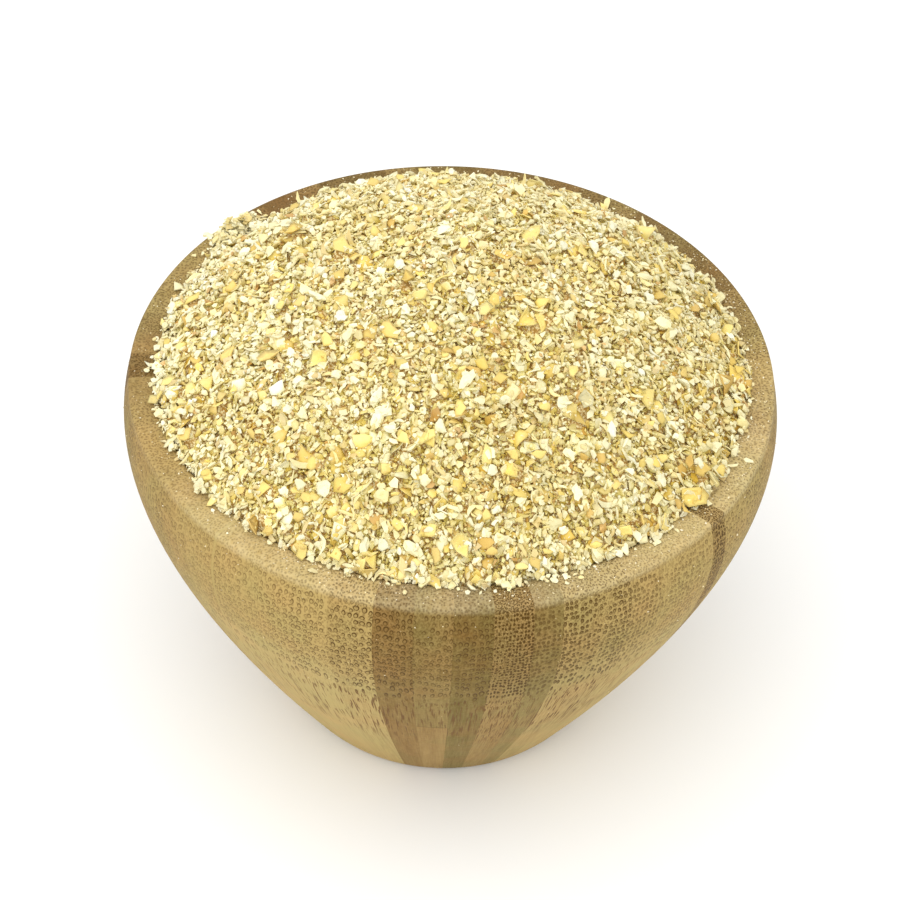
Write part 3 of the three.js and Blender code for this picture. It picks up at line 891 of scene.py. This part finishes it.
# What lies on the rim: strays, each with its kind, its turn from the front in degrees, its distance from the
# middle and its length in mm, the spill at the back left, and bits that fell past the foot.
rimCrumbs = {
    "strays": [
        ("golden_flakes", -48.0, 46.4, 2.9), ("chips", -23.6, 47.7, 1.6), ("flour_lumps", 2.5, 46.0, 1.3),
        ("flour_lumps", 18.8, 45.9, 1.1), ("flour_lumps", 20.4, 46.4, 0.9), ("grits", 22.6, 46.9, 0.6),
        ("flour_lumps", 40.1, 47.2, 1.2), ("slivers", 64.8, 46.6, 2.6), ("slivers", 149.0, 47.4, 4.2),
        ("flour_lumps", -125.1, 48.6, 1.5), ("pale_flakes", -110.2, 46.5, 2.2),
        ("flour_lumps", -86.1, 46.6, 1.1),
    ],
    "spill": (-129.5, 3.2, 220),  # its middle, its spread in degrees, and how many pieces
    "fallen": 420,
    "fallenReach": 0.3,  # mm past the mouth, on average
    "lean": 0.4,  # of the heap's own unevenness
    "seed": 8,
}


def makeRimCrumbs(material):
    random = np.random.default_rng(rimCrumbs["seed"])
    rimTop, outer = bowl["height"], bowl["rimRadius"] - bowl["edgeRound"]
    mouth = bowl["mouthRadius"] + bowl["edgeRound"]
    middle, spread, spilled = rimCrumbs["spill"]
    fallen = rimCrumbs["fallen"]
    names = ["chips", "grits", "pale_flakes", "flour_lumps"]
    picks = np.append(random.choice(names, spilled, p=[0.45, 0.35, 0.14, 0.06]),
                      random.choice(names, fallen, p=[0.42, 0.46, 0.08, 0.04]))
    turn = np.radians(np.append(random.normal(middle, spread, spilled), random.uniform(0, 360, fallen)))
    away = np.append(random.triangular(0, 0.2, 3.4, spilled),
                     random.exponential(rimCrumbs["fallenReach"], fallen) - bowl["edgeRound"])
    place = polar(turn, np.minimum(mouth + away, outer - 0.5))
    parts = [drawPieces(name, place[picks == name], random) for name in names]
    for name, angle, far, length in rimCrumbs["strays"]:
        stray = drawPieces(name, polar(np.radians(angle), far)[None], random)
        stray["half"] = stray["half"] * length / 2 / stray["half"][:, :1]
        parts.append(stray)
    pieces = gather(parts)
    pieces["lean"] *= rimCrumbs["lean"]
    # the heap's edge is there for them to lean on
    bed = np.clip(mouth - mapDistances(outer + heap["margin"]), 0, 2)
    rest, slope, _ = settle(pieces, bed)
    groups = []
    for number, (kind, its) in enumerate(kinds.items()):
        chosen = pieces["kind"] == number
        if chosen.any():
            own = picked(pieces, chosen)
            local, corners, sizes, flat = its["form"](own, random)
            placed = turned(own, local, rest[chosen], slope[chosen])
            placed[..., 2] += np.maximum(0.01 - placed[..., 2].min(1), 0)[:, None] + rimTop
            groups.append((placed, corners, sizes, flat, own["colour"]))
    joinedPiece("rim_crumbs", groups, material)


flour = {
    "rimSpecks": 900,
    "wallSpecks": 260,
    "length": (0.2, 0.35, 0.1, 0.45),  # mm: median, spread, least, most
    "colours": {"#e9dcb4": 2, "#f3eac8": 1},
    "denserAt": 75,  # degrees from the front
    "wallRows": (14, 58),  # of the bowl's outline, from the foot to the rim
    "seed": 21,
}


def makeFlour(material):
    # specks of flour on the rim, thicker near the heap and on the right, and on the wall below it
    random = np.random.default_rng(flour["seed"])
    count = flour["rimSpecks"]
    mouth = bowl["mouthRadius"] + bowl["edgeRound"]
    width = bowl["rimWidth"] - 2 * bowl["edgeRound"]
    turn = random.uniform(0, fullTurn, 3 * count)
    kept = random.uniform(0, 1.7, 3 * count) < 1 + 0.7 * np.cos(turn - np.radians(flour["denserAt"]))
    distance = mouth + width * random.uniform(0, 1, count) ** 1.3
    wall = bowlOutline()[slice(*flour["wallRows"])]
    share = random.uniform(0, 1, flour["wallSpecks"]) ** 0.6 * (len(wall) - 1.01)
    low = share.astype(int)
    point = wall[low] + (wall[low + 1] - wall[low]) * (share - low)[:, None]
    around = random.uniform(0, fullTurn, len(point))
    place = np.vstack([polar(turn[kept][:count], distance), polar(around, point[:, 0])])
    own = drawPieces("grits", place, random, {key: flour[key] for key in ("length", "colours")})
    local, corners, sizes, flat = speckForm(own, random)
    level = np.append(bowl["height"] + own["thick"][:count] * 0.4, point[:, 1])
    placed = turned(own, local, level, own["lean"])
    joinedPiece("flour_dust", [(placed, corners, sizes, flat, own["colour"])], material)


bran = {
    "mottle": 0.2,  # how much the colour varies inside a piece
    "mottleSize": 0.45,  # mm
    "shades": ("#e5dfca", (1.08, 1.09, 1.22, 1.0)),  # multiply the darkest and the lightest spots
    "roughness": 0.85,
    "gloss": 0.25,
    "relief": (0.5, 0.08),
}
fineBran = {
    "light": "#f0e4b0",
    "dark": "#d8be84",
    "gap": "#ac8542",  # painted shade between the grains
    "grain": 0.36,  # mm
    "roughness": 0.9,
    "gloss": 0.2,
    "relief": (0.7, 0.2),
}


def branMaterial(look):
    # each piece has its own tint; inside it the colour varies in soft spots
    material, start = newMaterial("oat_bran")
    place = start.node("ShaderNodeTexCoord", output="Object")
    spots = start.noise(place, 1 / (look["mottleSize"] * mm), 3.0, 0.6)
    fine = start.noise(place, 6 / (look["mottleSize"] * mm), roughness=0.6)
    level = (spots - 0.5) * 1.4 + (fine - 0.5) * 0.6
    shade = start.mix(level * look["mottle"] * 2.0 + 0.5, *look["shades"])
    colour = start.mix(1.0, start.read("tint", "Color"), shade, "MULTIPLY")
    finishSurface(start, look, colour, look["roughness"], spots)
    return material


def fineBranMaterial(look):
    # fine bran between the loose pieces: small grains of chance tones, with painted shade between them
    material, start = newMaterial("fine_bran")
    place = start.node("ShaderNodeTexCoord", output="Object")
    luck, _, _ = start.cells(place, look["grain"] * mm, "Color", dimensions="3D").split()
    apart = start.cells(place, look["grain"] * mm, "Distance", dimensions="3D")
    grain = start.mix(luck.ramp(0.1, 0.9), look["dark"], look["light"])
    # painted shade: the gap colour darkens the surface between the grains
    colour = start.mix(apart.ramp(0.35, 0.7), grain, look["gap"])
    finishSurface(start, look, colour, look["roughness"], 1 - apart)
    return material


studio = {
    "floor": "#f0f0ee",
    "floorReach": 3.0,  # m
    "sky": 0.92,
    "key": 7.7,  # W
    "keyPlace": (-0.1, -0.3, 0.78),
    "keySize": 1.3,
}


def makeStudio():
    material, start = newMaterial("floor")
    start.node("ShaderNodeOutputMaterial", {}, {"Surface": start.node("ShaderNodeBsdfPrincipled", {}, {
        "Base Color": studio["floor"], "Roughness": 0.9})})
    reach = studio["floorReach"]
    mesh = bpy.data.meshes.new("floor")
    mesh.from_pydata([(-reach, -reach, 0), (reach, -reach, 0), (reach, reach, 0), (-reach, reach, 0)], [],
                     [(0, 1, 2, 3)])
    mesh.materials.append(material)
    newObject("floor", mesh)
    world = bpy.data.worlds.new("soft_light")
    world.use_nodes = True
    background = world.node_tree.nodes["Background"]
    background.inputs["Color"].default_value = (1, 1, 1, 1)
    background.inputs["Strength"].default_value = studio["sky"]
    scene.world = world
    data = bpy.data.lights.new("key", "AREA")
    data.size, data.energy = studio["keySize"], studio["key"]
    lamp = newObject("key", data)
    lamp.location = studio["keyPlace"]
    lamp.rotation_mode = "QUATERNION"
    beam = lamp.location - Vector((0, 0, bowl["height"] * mm))
    lamp.rotation_quaternion = beam.to_track_quat("Z", "Y")
    scene.view_settings.view_transform, scene.view_settings.look = "Standard", "None"


makeCamera()
makeStudio()
print("camera, floor and light are in place")
makeBowl(bambooMaterial(bamboo))
branLook = branMaterial(bran)
bed = makePieces(branLook)
makeCore(bed, fineBranMaterial(fineBran))
makeRimCrumbs(branLook)
makeFlour(branLook)
